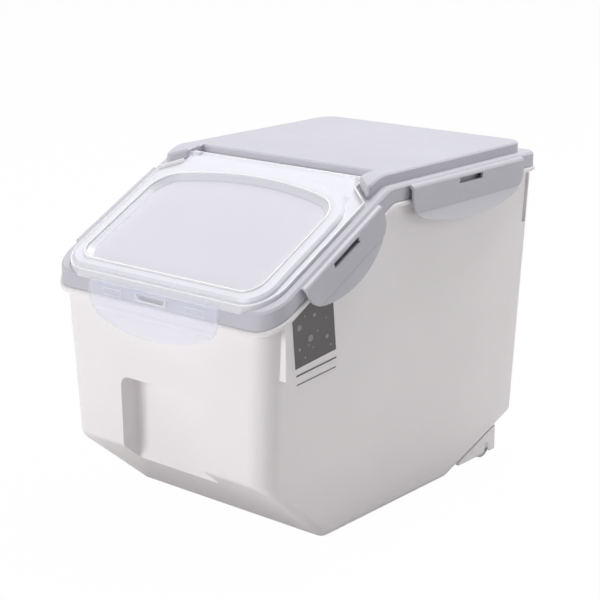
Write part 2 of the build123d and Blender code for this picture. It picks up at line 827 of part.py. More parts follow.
# Wheels and their axles
with BuildPart() as wheel:
    with BuildSketch(Plane.XY):
        with BuildLine():
            Polyline(
                (axle_radius + axle_fit, -wheel_width / 2),
                (hub_radius, -wheel_width / 2),
                (hub_radius, -wheel_width / 2 + rim_web_inset),
                (wheel_radius - tread_thickness, -wheel_width / 2 + rim_web_inset),
                (wheel_radius - tread_thickness, -wheel_width / 2),
                (wheel_radius, -wheel_width / 2),
                (wheel_radius, wheel_width / 2),
                (wheel_radius - tread_thickness, wheel_width / 2),
                (wheel_radius - tread_thickness, wheel_width / 2 - rim_web_inset),
                (hub_radius, wheel_width / 2 - rim_web_inset),
                (hub_radius, wheel_width / 2),
                (axle_radius + axle_fit, wheel_width / 2),
                close=True,
            )
        make_face()
    revolve(axis=Axis.Y)

wheel_centre = (well_inner + well_outer) / 2
nodes = {"bin": bin_body.part, "lid_frame": lid_frame.part, "main_lid_seal": main_lid_seal.part}
nodes.update({"flip_lid": flip_lid.part, "flip_lid_seal": flip_lid_seal.part, "front_latch": front_latch})
nodes.update(latches)
for name, side in sides.items():
    turned = Plane(origin=(side * wheel_centre, axle_y, axle_z), x_dir=(0, 1, 0), z_dir=(0, 0, -1))
    nodes[f"wheel_{name}"] = turned.location * wheel.part
    head_seat = cheek_inner - axle_seat_gap
    ends = sorted((side * head_seat, side * cheek_outer))
    head = sorted((side * (head_seat - axle_head_length), side * head_seat))
    with BuildPart() as axle:
        add(across(ends[0], ends[1], axle_radius, axle_y, axle_z))
        add(across(head[0], head[1], axle_head_radius, axle_y, axle_z))
    nodes[f"axle_{name}"] = axle.part

os.makedirs("parts", exist_ok=True)
for name, part in nodes.items():
    part.label = name
    export_step(part, f"parts/{name}.step")
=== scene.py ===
import math

import bmesh
import bpy
from mathutils import Matrix, Vector


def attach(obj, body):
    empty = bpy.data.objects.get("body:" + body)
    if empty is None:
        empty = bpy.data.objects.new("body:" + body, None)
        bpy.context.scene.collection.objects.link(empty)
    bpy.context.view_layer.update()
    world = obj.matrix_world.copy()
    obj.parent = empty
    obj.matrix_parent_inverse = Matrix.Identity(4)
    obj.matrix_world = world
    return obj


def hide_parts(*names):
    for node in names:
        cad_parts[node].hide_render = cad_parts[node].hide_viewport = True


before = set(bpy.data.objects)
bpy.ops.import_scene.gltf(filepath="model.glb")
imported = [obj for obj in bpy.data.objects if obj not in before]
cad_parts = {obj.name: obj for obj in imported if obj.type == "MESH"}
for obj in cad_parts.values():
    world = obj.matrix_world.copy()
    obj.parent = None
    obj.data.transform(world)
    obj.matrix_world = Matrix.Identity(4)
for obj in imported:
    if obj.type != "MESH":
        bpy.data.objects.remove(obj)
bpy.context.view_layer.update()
mm = 0.001
print("frame loaded")

# the camera stands where the photograph was taken from
cameraSpec = {
    "place": (0.78327, -0.92878, 0.49040),
    "aim": (0.01282, -0.01637, 0.15645),
    "rollDegrees": -0.086,
    "lens": 94.084,
    "sensor": 36,
    "farthest": 50,
}

# the bin's rim, which lids, seals and beads follow
rim = {
    "halfWidth": 114 * mm,
    "front": -165.375 * mm,
    "rear": 171.625 * mm,
    "bendY": -27.875 * mm,
    "height": 246.5 * mm,
    "slope": math.atan2(71.6, 137.5),
    "frontRadius": 22 * mm,
    "rearRadius": 13 * mm,
    "bendRadius": 12 * mm,
}
wall = {"footX": 96.5 * mm, "lean": 13.5 / 246.5}


def placeCamera(spec):
    data = bpy.data.cameras.new("studioCamera")
    data.lens = spec["lens"]
    data.sensor_width = spec["sensor"]
    data.clip_end = spec["farthest"]
    camera = bpy.data.objects.new("studioCamera", data)
    bpy.context.scene.collection.objects.link(camera)
    place, aim = Vector(spec["place"]), Vector(spec["aim"])
    turn = (aim - place).to_track_quat("-Z", "Y").to_matrix().to_4x4()
    roll = Matrix.Rotation(math.radians(spec["rollDegrees"]), 4, "Z")
    camera.matrix_world = Matrix.Translation(place) @ turn @ roll
    bpy.context.scene.camera = camera


placeCamera(cameraSpec)
print("camera placed")

# studio: pale floor, white surroundings and three soft lamps
studioSpec = {
    "worldStrength": 0.22,
    "mirrored": 0.5,
    "worldColour": (1.0, 0.995, 0.99),
    "floorColour": (0.70, 0.69, 0.68),
    "floorGlow": 0.985,
    "floorReach": 6,
    "floorDrop": 0.3 * mm,
    "lampAim": (0, 0, 0.15),
}
lampSpecs = {
    "keyLamp": {"place": (-0.6, -2.15, 0.55), "size": 1.2, "watts": 27.5},
    "topLamp": {"place": (0.0, 0.7, 2.3), "size": 1.6, "watts": 59},
    "rightLamp": {"place": (1.5, 1.6, 0.8), "size": 1.2, "watts": 10},
}


def link(tree, source, target):
    tree.links.new(source, target)


# a node that works on two values, each a number or another node's output
def mathNode(tree, operation, first, second):
    node = tree.nodes.new("ShaderNodeMath")
    node.operation = operation
    for socket, value in zip(node.inputs, (first, second)):
        if isinstance(value, (int, float)):
            socket.default_value = value
        else:
            link(tree, value, socket)
    return node.outputs[0]


def backgroundNode(tree, colour, strength):
    node = tree.nodes.new("ShaderNodeBackground")
    node.inputs["Color"].default_value = (*colour, 1)
    node.inputs["Strength"].default_value = strength
    return node.outputs["Background"]


def mixedShader(tree, share, first, second):
    node = tree.nodes.new("ShaderNodeMixShader")
    link(tree, share, node.inputs["Fac"])
    link(tree, first, node.inputs[1])
    link(tree, second, node.inputs[2])
    return node.outputs["Shader"]


# dim surroundings for the light, white ones for the camera and partly white ones for reflections
def buildWorld(spec):
    world = bpy.data.worlds.new("whiteStudio")
    bpy.context.scene.world = world
    world.use_nodes = True
    tree = world.node_tree
    tree.nodes.clear()
    rays = tree.nodes.new("ShaderNodeLightPath")
    mirrored = mathNode(tree, "MULTIPLY", rays.outputs["Is Glossy Ray"], spec["mirrored"])
    seen = mathNode(tree, "MAXIMUM", rays.outputs["Is Camera Ray"], mirrored)
    seenToo = mathNode(tree, "MAXIMUM", seen, rays.outputs["Is Transmission Ray"])
    lit = backgroundNode(tree, spec["worldColour"], spec["worldStrength"])
    white = backgroundNode(tree, (1, 1, 1), 1)
    out = tree.nodes.new("ShaderNodeOutputWorld")
    link(tree, mixedShader(tree, seenToo, lit, white), out.inputs["Surface"])


def addLamp(name, spec, aim):
    data = bpy.data.lights.new(name, "AREA")
    data.shape = "SQUARE"
    data.size = spec["size"]
    data.energy = spec["watts"]
    lamp = bpy.data.objects.new(name, data)
    bpy.context.scene.collection.objects.link(lamp)
    lamp.location = spec["place"]
    lamp.rotation_euler = (Vector(aim) - Vector(spec["place"])).to_track_quat("-Z", "Y").to_euler()


# a matt floor that the camera sees almost as white as the surroundings
def buildFloor(spec):
    material = bpy.data.materials.new("paleFloor")
    material.use_nodes = True
    tree = material.node_tree
    tree.nodes.clear()
    matt = tree.nodes.new("ShaderNodeBsdfDiffuse")
    matt.inputs["Color"].default_value = (*spec["floorColour"], 1)
    glow = tree.nodes.new("ShaderNodeEmission")
    glow.inputs["Strength"].default_value = 1
    rays = tree.nodes.new("ShaderNodeLightPath")
    share = mathNode(tree, "MULTIPLY", rays.outputs["Is Camera Ray"], spec["floorGlow"])
    mixed = mixedShader(tree, share, matt.outputs[0], glow.outputs[0])
    out = tree.nodes.new("ShaderNodeOutputMaterial")
    link(tree, mixed, out.inputs["Surface"])
    reach = spec["floorReach"]
    corners = [(-reach, -reach, 0), (reach, -reach, 0), (reach, reach, 0), (-reach, reach, 0)]
    mesh = bpy.data.meshes.new("floor")
    mesh.from_pydata(corners, [], [(0, 1, 2, 3)])
    floor = bpy.data.objects.new("floor", mesh)
    floor.location.z = -spec["floorDrop"]
    mesh.materials.append(material)
    bpy.context.scene.collection.objects.link(floor)


bpy.context.scene.view_settings.view_transform = "Standard"
buildWorld(studioSpec)
buildFloor(studioSpec)
for name, spec in lampSpecs.items():
    addLamp(name, spec, studioSpec["lampAim"])
print("studio built")

# moulded plastics: colour drift, a fine satin grain and slow waviness from the mould
plastics = {
    "whiteBin": {
        "colour": (0.835, 0.808, 0.825), "drift": 0.02, "driftScale": 9, "roughLow": 0.30, "roughHigh": 0.42,
        "grainScale": 1500, "grainHeight": 0.00002, "waveScale": 12, "waveHeight": 0.0003, "specular": 0.5,
        "softness": 0.12, "alpha": 1.0,
    },
    "greyLid": {
        "colour": (0.525, 0.52, 0.575), "drift": 0.03, "driftScale": 12, "roughLow": 0.30, "roughHigh": 0.42,
        "grainScale": 1500, "grainHeight": 0.00003, "waveScale": 16, "waveHeight": 0.0002, "specular": 0.5,
        "softness": 0.05, "alpha": 1.0,
    },
    "milkyLid": {
        "colour": (0.72, 0.72, 0.77), "drift": 0.012, "driftScale": 8, "roughLow": 0.20, "roughHigh": 0.30,
        "grainScale": 1300, "grainHeight": 0.00001, "waveScale": 10, "waveHeight": 0.00008, "specular": 0.5,
        "softness": 0.2, "alpha": 0.86, "milk": {
            "shadow": 0.85, "edge": 0.6 * mm, "edgeAlpha": 0.95, "window": True,
            "windowTone": (0.92, 0.91, 0.92), "windowAlpha": 0.8,
        },
    },
    "milkyLatch": {
        "colour": (0.75, 0.77, 0.89), "drift": 0.012, "driftScale": 12, "roughLow": 0.18, "roughHigh": 0.28,
        "grainScale": 1300, "grainHeight": 0.00001, "waveScale": 16, "waveHeight": 0.00008, "specular": 0.6,
        "softness": 0.1, "alpha": 0.26, "milk": {
            "shadow": 0.9, "edge": 0.9 * mm, "edgeAlpha": 0.8, "window": False,
        },
    },
    # near-white for thin beads and edges: a painted highlight, brighter than the plastic around them
    "beadHighlightWhite": {
        "colour": (0.96, 0.96, 0.96), "drift": 0.01, "driftScale": 20, "roughLow": 0.15, "roughHigh": 0.25,
        "grainScale": 1300, "grainHeight": 0.00001, "waveScale": 30, "waveHeight": 0.00003, "specular": 0.6,
        "softness": 0.1, "alpha": 0.85,
    },
    "whiteSeal": {
        "colour": (0.80, 0.80, 0.79), "drift": 0.03, "driftScale": 30, "roughLow": 0.5, "roughHigh": 0.62,
        "grainScale": 2500, "grainHeight": 0.00002, "waveScale": 30, "waveHeight": 0.0001, "specular": 0.35,
        "softness": 0.2, "alpha": 1.0,
    },
    "wheelNylon": {
        "colour": (0.62, 0.62, 0.61), "drift": 0.06, "driftScale": 40, "roughLow": 0.4, "roughHigh": 0.55,
        "grainScale": 1800, "grainHeight": 0.00003, "waveScale": 60, "waveHeight": 0.0001, "specular": 0.4,
        "softness": 0.1, "alpha": 1.0,
    },
    "labelFilm": {
        "colour": (0.125, 0.118, 0.125), "drift": 0.08, "driftScale": 25, "roughLow": 0.35, "roughHigh": 0.5,
        "grainScale": 3000, "grainHeight": 0.00001, "waveScale": 40, "waveHeight": 0.00003, "specular": 0.4,
        "softness": 0.0, "alpha": 1.0,
    },
    "dropInk": {
        "colour": (0.30, 0.29, 0.30), "drift": 0.06, "driftScale": 60, "roughLow": 0.35, "roughHigh": 0.5,
        "grainScale": 3000, "grainHeight": 0.00001, "waveScale": 40, "waveHeight": 0.00002, "specular": 0.4,
        "softness": 0.0, "alpha": 1.0,
    },
}


def rampNode(tree, value, fromLow, fromHigh, toLow, toHigh):
    node = tree.nodes.new("ShaderNodeMapRange")
    node.interpolation_type = "SMOOTHSTEP"
    limits = {"From Min": fromLow, "From Max": fromHigh, "To Min": toLow, "To Max": toHigh}
    for label, number in limits.items():
        node.inputs[label].default_value = number
    link(tree, value, node.inputs["Value"])
    return node.outputs["Result"]


def dotNode(tree, first, second):
    node = tree.nodes.new("ShaderNodeVectorMath")
    node.operation = "DOT_PRODUCT"
    link(tree, first, node.inputs[0])
    if isinstance(second, tuple):
        node.inputs[1].default_value = second
    else:
        link(tree, second, node.inputs[1])
    return node.outputs["Value"]


def tintNode(tree, share, colour, tint, blend):
    node = tree.nodes.new("ShaderNodeMix")
    node.data_type = "RGBA"
    node.blend_type = blend
    link(tree, share, node.inputs[0])
    link(tree, colour, node.inputs[6])
    node.inputs[7].default_value = (*tint, 1)
    return node.outputs[2]


def noiseNode(tree, where, scale, detail):
    node = tree.nodes.new("ShaderNodeTexNoise")
    node.inputs["Scale"].default_value = scale
    node.inputs["Detail"].default_value = detail
    link(tree, where.outputs["Object"], node.inputs["Vector"])
    return node.outputs["Fac"]


bumpStrength = 0.5


def bumpNode(tree, height, distance):
    node = tree.nodes.new("ShaderNodeBump")
    node.inputs["Strength"].default_value = bumpStrength
    node.inputs["Distance"].default_value = distance
    link(tree, height, node.inputs["Height"])
    return node


# the flip lid's thin window, along the slope: its middle, and where it fades out to each side and upwards
windowSpec = {
    "middle": -74.5 * mm, "lift": (17.5 * mm, 18.6 * mm), "halfWidth": (88 * mm, 91 * mm),
    "halfLength": (57.5 * mm, 60.5 * mm),
}
# how well a rounded normal agrees with the flat one on an edge and off it, and the near-white tone of the
# painted highlight on edges
edgeDensityAndHighlightSpec = {"on": 0.8, "off": 0.97, "tone": (0.97, 0.97, 0.98), "samples": 4}


# 1 on the window inside the lid's land and 0 elsewhere
def windowShare(tree, where):
    local = tree.nodes.new("ShaderNodeVectorMath")
    local.operation = "SUBTRACT"
    local.inputs[1].default_value = (0, rim["bendY"], rim["height"])
    link(tree, where.outputs["Object"], local.inputs[0])
    cosine, sine = math.cos(rim["slope"]), math.sin(rim["slope"])
    sideways = mathNode(tree, "ABSOLUTE", dotNode(tree, local.outputs["Vector"], (1, 0, 0)), 0)
    along = dotNode(tree, local.outputs["Vector"], (0, cosine, sine))
    lift = dotNode(tree, local.outputs["Vector"], (0, -sine, cosine))
    aside = mathNode(tree, "ABSOLUTE", mathNode(tree, "ADD", along, -windowSpec["middle"]), 0)
    flat = rampNode(tree, lift, *windowSpec["lift"], 1, 0)
    wide = rampNode(tree, sideways, *windowSpec["halfWidth"], 1, 0)
    long = rampNode(tree, aside, *windowSpec["halfLength"], 1, 0)
    return mathNode(tree, "MULTIPLY", flat, mathNode(tree, "MULTIPLY", wide, long))


# milky plastic: denser along its edges, where a painted highlight whitens its colour, thinner in the lid's
# window, and passing most of the light
def addMilk(tree, shader, where, colour, alpha, milk):
    geometry = tree.nodes.new("ShaderNodeNewGeometry")
    rounded = tree.nodes.new("ShaderNodeBevel")
    rounded.samples = edgeDensityAndHighlightSpec["samples"]
    rounded.inputs["Radius"].default_value = milk["edge"]
    turn = dotNode(tree, rounded.outputs["Normal"], geometry.outputs["True Normal"])
    edge = rampNode(tree, turn, edgeDensityAndHighlightSpec["on"], edgeDensityAndHighlightSpec["off"], 1, 0)
    density = alpha
    if milk["window"]:
        window = windowShare(tree, where)
        colour = tintNode(tree, window, colour, milk["windowTone"], "MULTIPLY")
        density = rampNode(tree, window, 0, 1, alpha, milk["windowAlpha"])
    room = mathNode(tree, "SUBTRACT", milk["edgeAlpha"], density)
    dense = mathNode(tree, "ADD", mathNode(tree, "MULTIPLY", room, edge), density)
    rays = tree.nodes.new("ShaderNodeLightPath")
    stopped = mathNode(tree, "MULTIPLY", rays.outputs["Is Shadow Ray"], milk["shadow"])
    passed = mathNode(tree, "SUBTRACT", 1, stopped)
    link(tree, mathNode(tree, "MULTIPLY", dense, passed), shader.inputs["Alpha"])
    # edges tinted near-white: a painted highlight
    link(tree, tintNode(tree, edge, colour, edgeDensityAndHighlightSpec["tone"], "MIX"), shader.inputs["Base Color"])


# detail of each noise, the part of the noise that the colours spread over, and how deep light goes in
noiseSpec = {"driftDetail": 4, "rubScale": 6, "rubDetail": 6, "grainDetail": 2, "waveDetail": 1}
toneSpan = (0.3, 0.7)
lightDepth = 4 * mm


def mouldedPlastic(name, spec):
    material = bpy.data.materials.new(name)
    material.use_nodes = True
    tree = material.node_tree
    shader = tree.nodes["Principled BSDF"]
    where = tree.nodes.new("ShaderNodeTexCoord")

    cloud = noiseNode(tree, where, spec["driftScale"], noiseSpec["driftDetail"])
    tone = tree.nodes.new("ShaderNodeValToRGB")
    shares = (1 - spec["drift"], 1 + spec["drift"])
    for element, position, share in zip(tone.color_ramp.elements, toneSpan, shares):
        element.position = position
        element.color = (*[min(1, c * share) for c in spec["colour"]], 1)
    link(tree, cloud, tone.inputs["Fac"])
    link(tree, tone.outputs["Color"], shader.inputs["Base Color"])

    rub = noiseNode(tree, where, spec["driftScale"] * noiseSpec["rubScale"], noiseSpec["rubDetail"])
    sheen = tree.nodes.new("ShaderNodeMapRange")
    sheen.inputs["To Min"].default_value = spec["roughLow"]
    sheen.inputs["To Max"].default_value = spec["roughHigh"]
    link(tree, rub, sheen.inputs["Value"])
    link(tree, sheen.outputs["Result"], shader.inputs["Roughness"])

    grain = noiseNode(tree, where, spec["grainScale"], noiseSpec["grainDetail"])
    wave = noiseNode(tree, where, spec["waveScale"], noiseSpec["waveDetail"])
    slow = bumpNode(tree, wave, spec["waveHeight"])
    fine = bumpNode(tree, grain, spec["grainHeight"])
    link(tree, slow.outputs["Normal"], fine.inputs["Normal"])
    link(tree, fine.outputs["Normal"], shader.inputs["Normal"])

    shader.inputs["Specular IOR Level"].default_value = spec["specular"]
    shader.inputs["Subsurface Weight"].default_value = spec["softness"]
    shader.inputs["Subsurface Radius"].default_value = (lightDepth, lightDepth, lightDepth)
    shader.inputs["Subsurface Scale"].default_value = 1
    shader.inputs["Alpha"].default_value = spec["alpha"]
    if "milk" in spec:
        addMilk(tree, shader, where, tone.outputs["Color"], spec["alpha"], spec["milk"])
    return material


finishes = {name: mouldedPlastic(name, spec) for name, spec in plastics.items()}
print("plastics mixed")

# each moulded piece keeps its solid's shape, with its edges softened as a mould leaves them
softenSpec = {
    "bin": {
        "piece": "binBody", "body": "bin", "finish": "whiteBin", "slot": "bin",
        "edge": 0.4 * mm,
    },
    "lid_frame": {
        "piece": "lidFrame", "body": "lid", "finish": "greyLid", "slot": "lid",
        "edge": 0.45 * mm,
    },
    "flip_lid": {
        "piece": "flipLid", "body": "flip_lid", "finish": "milkyLid", "slot": "clear_lid",
        "edge": 0.25 * mm,
    },
    "front_latch": {
        "piece": "frontLatch", "body": "front_latch", "finish": "milkyLatch", "slot": "clear_latch",
        "edge": 0.3 * mm,
    },
    "latch_right_rear": {
        "piece": "rightRearLatch", "body": "latch_right_rear", "finish": "greyLid", "slot": "latch",
        "edge": 0.35 * mm,
    },
    "latch_right_front": {
        "piece": "rightFrontLatch", "body": "latch_right_front", "finish": "greyLid", "slot": "latch",
        "edge": 0.35 * mm,
    },
    "latch_left_rear": {
        "piece": "leftRearLatch", "body": "latch_left_rear", "finish": "greyLid", "slot": "latch",
        "edge": 0.35 * mm,
    },
    "latch_left_front": {
        "piece": "leftFrontLatch", "body": "latch_left_front", "finish": "greyLid", "slot": "latch",
        "edge": 0.35 * mm,
    },
    "wheel_left": {
        "piece": "leftWheel", "body": "wheel_left", "finish": "wheelNylon", "slot": "wheel",
        "edge": 0.2 * mm,
    },
    "wheel_right": {
        "piece": "rightWheel", "body": "wheel_right", "finish": "wheelNylon", "slot": "wheel",
        "edge": 0.2 * mm,
    },
}
# the welding distance, the largest turn between faces that become one, the turns from which a crease
# shades sharp and an edge is rounded, and the steps of the rounding
mouldSpec = {
    "weld": 0.005 * mm, "flat": math.radians(0.6), "crease": math.radians(28), "edgeFrom": math.radians(34),
    "rings": 2,
}


def softenedPiece(nodeName, spec):
    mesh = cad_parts[nodeName].data.copy()
    mesh.name = spec["piece"]
    while mesh.attributes.get("custom_normal"):
        mesh.attributes.remove(mesh.attributes["custom_normal"])
    shape = bmesh.new()
    shape.from_mesh(mesh)
    bmesh.ops.remove_doubles(shape, verts=shape.verts, dist=mouldSpec["weld"])
    bmesh.ops.dissolve_limit(
        shape, angle_limit=mouldSpec["flat"], verts=shape.verts, edges=shape.edges,
        use_dissolve_boundaries=False,
    )
    shape.to_mesh(mesh)
    shape.free()
    piece = bpy.data.objects.new(spec["piece"], mesh)
    bpy.context.scene.collection.objects.link(piece)
    mesh.materials.clear()
    mesh.materials.append(finishes[spec["finish"]])
    mesh.shade_smooth()
    mesh.set_sharp_from_angle(angle=mouldSpec["crease"])
    bevel = piece.modifiers.new("softEdge", "BEVEL")
    bevel.width = spec["edge"]
    bevel.segments = mouldSpec["rings"]
    bevel.limit_method = "ANGLE"
    bevel.angle_limit = mouldSpec["edgeFrom"]
    bevel.use_clamp_overlap = True
    bevel.harden_normals = True
    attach(piece, spec["body"])
    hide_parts(nodeName)


for nodeName, spec in softenSpec.items():
    softenedPiece(nodeName, spec)
for nodeName in ("axle_left", "axle_right"):
    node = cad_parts[nodeName]
    node.data.materials.clear()
    node.data.materials.append(finishes["wheelNylon"])
print("moulded pieces softened")

# points on a rounded corner, on the rear corners and rear arc of the land, and the step along a path
arcSteps = {"corner": 9, "rearCorner": 10, "rearArc": 24}
pathStep = 3 * mm


# height of the surface that lies lift above the rim's underside, with its soft bend
def rimHeight(y, lift):
    half = math.tan(rim["slope"] / 2)
    corner = rim["bendY"] - lift * half
    radius = rim["bendRadius"] + lift
    reach = radius * half
    level = rim["height"] + lift
    if y > corner + reach:
        return level
    if y < corner - reach * math.cos(rim["slope"]):
        return level + (y - corner) * math.tan(rim["slope"])
    return level - radius + math.sqrt(radius ** 2 - (y - corner - reach) ** 2)


def onSlope(x, along, lift):
    cosine, sine = math.cos(rim["slope"]), math.sin(rim["slope"])
    return (x, rim["bendY"] + along * cosine - lift * sine, rim["height"] + along * sine + lift * cosine)


def arcPoints(centre, radius, start, end, count):
    steps = [start + (end - start) * i / count for i in range(count + 1)]
    return [(centre[0] + radius * math.cos(a), centre[1] + radius * math.sin(a)) for a in steps]


# a closed path through corners (x, y, radius), each corner rounded
def filletedPath(corners):
    points = []
    for index, (x, y, radius) in enumerate(corners):
        before = Vector(corners[index - 1][:2]) - Vector((x, y))
        after = Vector(corners[(index + 1) % len(corners)][:2]) - Vector((x, y))
        before.normalize()
        after.normalize()
        if radius <= 0:
            points.append((x, y))
            continue
        half = before.angle(after) / 2
        start = Vector((x, y)) + before * radius / math.tan(half)
        end = Vector((x, y)) + after * radius / math.tan(half)
        centre = Vector((x, y)) + (before + after).normalized() * radius / math.sin(half)
        first = math.atan2(start.y - centre.y, start.x - centre.x)
        turn = math.atan2(end.y - centre.y, end.x - centre.x) - first
        turn = (turn + math.pi) % (2 * math.pi) - math.pi
        points += arcPoints(centre, radius, first, first + turn, arcSteps["corner"])
    return points


# a closed path with straight sides and a flat arc for its rear side
def crownedPath(spec):
    halfWidth, frontRadius, rearRadius = spec["halfWidth"], spec["frontRadius"], spec["rearRadius"]
    middle = spec["rear"] - spec["crown"]
    rearX, frontX = halfWidth - rearRadius, halfWidth - frontRadius
    cornerY = middle + math.sqrt((spec["crown"] - rearRadius) ** 2 - rearX ** 2)
    swing = math.atan2(cornerY - middle, rearX)
    right = arcPoints((rearX, cornerY), rearRadius, 0, swing, arcSteps["rearCorner"])
    back = arcPoints((0, middle), spec["crown"], swing, math.pi - swing, arcSteps["rearArc"])[1:-1]
    left = [(-x, y) for x, y in reversed(right)]
    frontLeft = arcPoints(
        (-frontX, spec["front"] + frontRadius), frontRadius, math.pi, math.pi * 1.5, arcSteps["corner"]
    )
    frontRight = [(-x, y) for x, y in reversed(frontLeft)]
    return right + back + left + frontLeft + frontRight


def subdivided(points):
    result = []
    for index, point in enumerate(points):
        following = points[(index + 1) % len(points)]
        parts = max(1, math.ceil(math.dist(point, following) / pathStep))
        for i in range(parts):
            result.append(tuple(a + (b - a) * i / parts for a, b in zip(point, following)))
    return result


def pathObject(name, points, closed=True):
    mesh = bpy.data.meshes.new(name)
    edges = [(i, i + 1) for i in range(len(points) - 1)]
    if closed:
        edges.append((len(points) - 1, 0))
    mesh.from_pydata(points, edges, [])
    item = bpy.data.objects.new(name, mesh)
    bpy.context.scene.collection.objects.link(item)
    return item


# points that carry a size each, for forms to be set on
def pointObject(name, points, sizes):
    item = pathObject(name, points, False)
    attribute = item.data.attributes.new("size", "FLOAT", "POINT")
    for entry, size in zip(attribute.data, sizes):
        entry.value = size
    return item


# Geometry Nodes: one tree sweeps a rounded strip along a path, the other sets a form on each point
def startTree(name, inputs):
    tree = bpy.data.node_groups.new(name, "GeometryNodeTree")
    tree.interface.new_socket("Geometry", in_out="INPUT", socket_type="NodeSocketGeometry")
    for label, kind in inputs:
        tree.interface.new_socket(label, in_out="INPUT", socket_type=kind)
    tree.interface.new_socket("Geometry", in_out="OUTPUT", socket_type="NodeSocketGeometry")
    return tree, tree.nodes.new("NodeGroupInput"), tree.nodes.new("NodeGroupOutput")


def finishTree(tree, shape, source, out):
    real = tree.nodes.new("GeometryNodeRealizeInstances")
    link(tree, shape, real.inputs["Geometry"])
    coat = tree.nodes.new("GeometryNodeSetMaterial")
    link(tree, real.outputs["Geometry"], coat.inputs["Geometry"])
    link(tree, source.outputs["Material"], coat.inputs["Material"])
    link(tree, coat.outputs["Geometry"], out.inputs["Geometry"])


# steps of a strip's rounded corner, and the two round lips on a seal as shares of its width and height
sweepSpec = {"cornerSteps": 3, "lipAcross": 0.3, "lipUp": 0.46, "lipCorners": 8}


def buildSweepTree(name, lips):
    tree, source, out = startTree(name, [
        ("Width", "NodeSocketFloat"), ("Height", "NodeSocketFloat"), ("Round", "NodeSocketFloat"),
        ("Up", "NodeSocketVector"), ("Material", "NodeSocketMaterial"),
    ])
    curve = tree.nodes.new("GeometryNodeMeshToCurve")
    link(tree, source.outputs["Geometry"], curve.inputs["Mesh"])
    tangent = tree.nodes.new("GeometryNodeInputTangent")
    across = tree.nodes.new("ShaderNodeVectorMath")
    across.operation = "CROSS_PRODUCT"
    link(tree, tangent.outputs["Tangent"], across.inputs[0])
    link(tree, source.outputs["Up"], across.inputs[1])
    upright = tree.nodes.new("GeometryNodeSetCurveNormal")
    upright.mode = "FREE"
    link(tree, curve.outputs["Curve"], upright.inputs["Curve"])
    link(tree, across.outputs["Vector"], upright.inputs["Normal"])
    strip = tree.nodes.new("GeometryNodeCurvePrimitiveQuadrilateral")
    link(tree, source.outputs["Width"], strip.inputs["Width"])
    link(tree, source.outputs["Height"], strip.inputs["Height"])
    softened = tree.nodes.new("GeometryNodeFilletCurve")
    softened.mode = "POLY"
    softened.inputs["Count"].default_value = sweepSpec["cornerSteps"]
    softened.inputs["Limit Radius"].default_value = True
    link(tree, strip.outputs["Curve"], softened.inputs["Curve"])
    link(tree, source.outputs["Round"], softened.inputs["Radius"])
    profile = softened.outputs["Curve"]
    if lips:
        joined = tree.nodes.new("GeometryNodeJoinGeometry")
        link(tree, profile, joined.inputs["Geometry"])
        for side in (-1, 1):
            lip = tree.nodes.new("GeometryNodeCurvePrimitiveCircle")
            lip.inputs["Resolution"].default_value = sweepSpec["lipCorners"]
            link(tree, source.outputs["Round"], lip.inputs["Radius"])
            offset = tree.nodes.new("ShaderNodeCombineXYZ")
            sideways = mathNode(tree, "MULTIPLY", source.outputs["Width"], side * sweepSpec["lipAcross"])
            link(tree, sideways, offset.inputs["X"])
            upwards = mathNode(tree, "MULTIPLY", source.outputs["Height"], sweepSpec["lipUp"])
            link(tree, upwards, offset.inputs["Y"])
            placed = tree.nodes.new("GeometryNodeTransform")
            link(tree, lip.outputs["Curve"], placed.inputs["Geometry"])
            link(tree, offset.outputs["Vector"], placed.inputs["Translation"])
            link(tree, placed.outputs["Geometry"], joined.inputs["Geometry"])
        profile = joined.outputs["Geometry"]
    swept = tree.nodes.new("GeometryNodeCurveToMesh")
    link(tree, upright.outputs["Curve"], swept.inputs["Curve"])
    link(tree, profile, swept.inputs["Profile Curve"])
    swept.inputs["Fill Caps"].default_value = True
    finishTree(tree, swept.outputs["Mesh"], source, out)
    return tree


discCorners = 36


def buildStampTree(name, form):
    tree, source, out = startTree(name, [
        ("Width", "NodeSocketFloat"), ("Length", "NodeSocketFloat"), ("Height", "NodeSocketFloat"),
        ("Facing", "NodeSocketVector"), ("Material", "NodeSocketMaterial"),
    ])
    if form == "disc":
        shape = tree.nodes.new("GeometryNodeMeshCylinder")
        shape.inputs["Vertices"].default_value = discCorners
        link(tree, source.outputs["Width"], shape.inputs["Radius"])
        link(tree, source.outputs["Height"], shape.inputs["Depth"])
    else:
        shape = tree.nodes.new("GeometryNodeMeshCube")
        extent = tree.nodes.new("ShaderNodeCombineXYZ")
        link(tree, source.outputs["Width"], extent.inputs["X"])
        link(tree, source.outputs["Length"], extent.inputs["Y"])
        link(tree, source.outputs["Height"], extent.inputs["Z"])
        link(tree, extent.outputs["Vector"], shape.inputs["Size"])
    facing = tree.nodes.new("FunctionNodeAlignRotationToVector")
    facing.axis = "Z"
    facing.pivot_axis = "Y"
    link(tree, source.outputs["Facing"], facing.inputs["Vector"])
    size = tree.nodes.new("GeometryNodeInputNamedAttribute")
    size.data_type = "FLOAT"
    size.inputs["Name"].default_value = "size"
    placed = tree.nodes.new("GeometryNodeInstanceOnPoints")
    link(tree, source.outputs["Geometry"], placed.inputs["Points"])
    link(tree, shape.outputs["Mesh"], placed.inputs["Instance"])
    link(tree, facing.outputs["Rotation"], placed.inputs["Rotation"])
    spread = tree.nodes.new("ShaderNodeCombineXYZ")
    link(tree, size.outputs["Attribute"], spread.inputs["X"])
    link(tree, size.outputs["Attribute"], spread.inputs["Y"])
    spread.inputs["Z"].default_value = 1
    link(tree, spread.outputs["Vector"], placed.inputs["Scale"])
    finishTree(tree, placed.outputs["Instances"], source, out)
    return tree


def turnOutward(mesh):
    shape = bmesh.new()
    shape.from_mesh(mesh)
    bmesh.ops.recalc_face_normals(shape, faces=shape.faces)
    shape.to_mesh(mesh)
    shape.free()


creaseAngle = math.radians(30)


